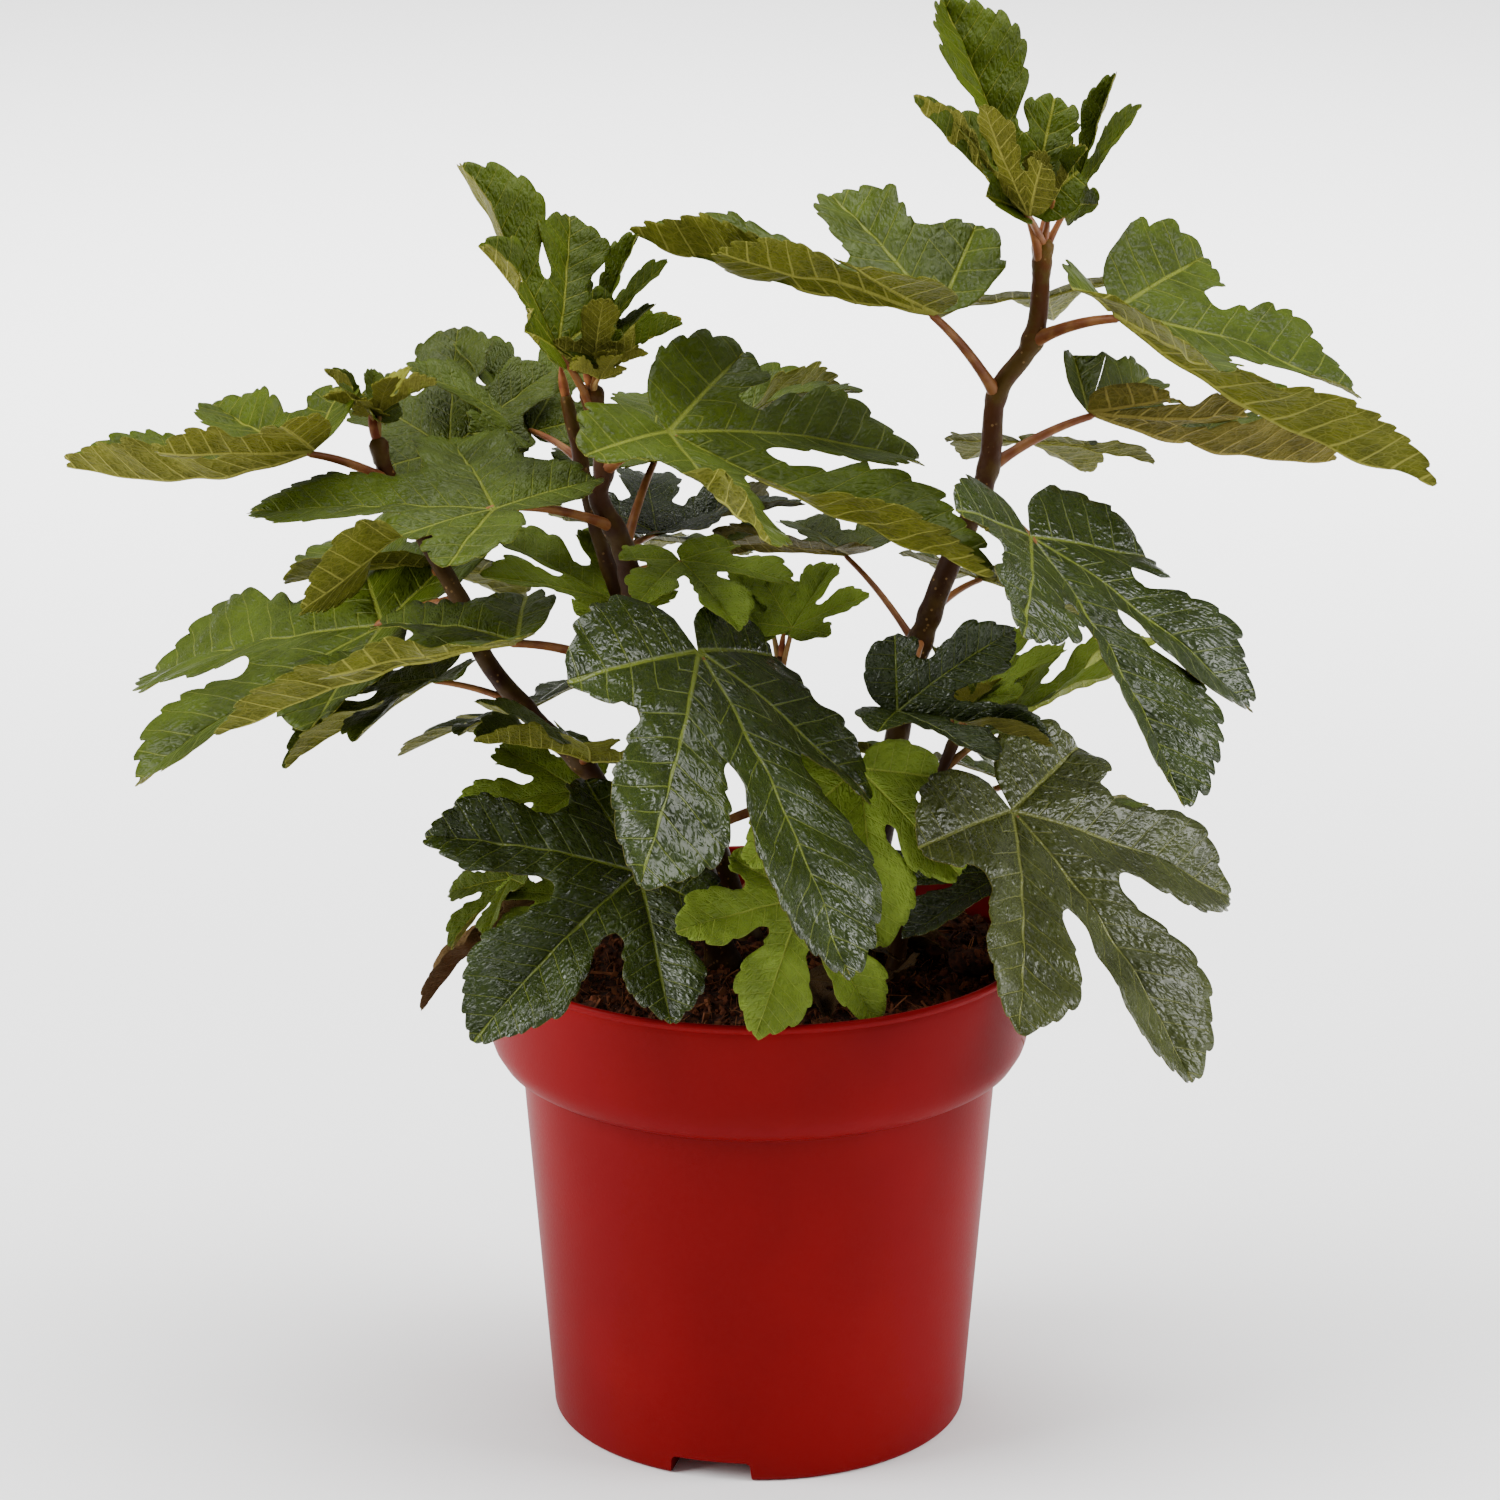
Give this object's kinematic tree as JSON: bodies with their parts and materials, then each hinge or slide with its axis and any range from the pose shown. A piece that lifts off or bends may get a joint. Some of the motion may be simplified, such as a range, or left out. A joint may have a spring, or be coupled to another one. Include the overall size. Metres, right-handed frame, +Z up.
{
  "type": "potted fig tree",
  "caption": "Young fig tree of several woody stems with large lobed leaves, in a round tapered nursery pot with a wide collar, filled with growing medium.",
  "frame": {"origin": "centre of the pot's flat underside, on the surface the pot stands on", "axes": "+Z up along the pot's axis, +X to the right and +Y away from the front of the plant"},
  "size_m": [0.496, 0.2928, 0.5353],
  "materials": {
    "pot": "satin moulded",
    "soil": "rough fibrous",
    "bark": "smooth bark",
    "foliage": "semi-gloss leaf"
  },
  "bodies": {
    "root": {"pot": "pot", "soil": "soil", "stem_right": "bark", "stem_middle": "bark", "stem_back": "bark", "stem_left": "bark", "stem_short": "bark", "stem_centre": "bark", "leaves_right_low": "foliage", "leaves_right_middle": "foliage", "leaves_right_top": "foliage", "leaves_middle_low": "foliage", "leaves_middle": "foliage", "leaves_middle_top": "foliage", "leaves_back_low": "foliage", "leaves_back_top": "foliage", "leaves_left_low": "foliage", "leaves_left_middle": "foliage", "leaves_left_top": "foliage", "leaves_short": "foliage", "leaves_centre": "foliage"}
  },
  "joints": []
}
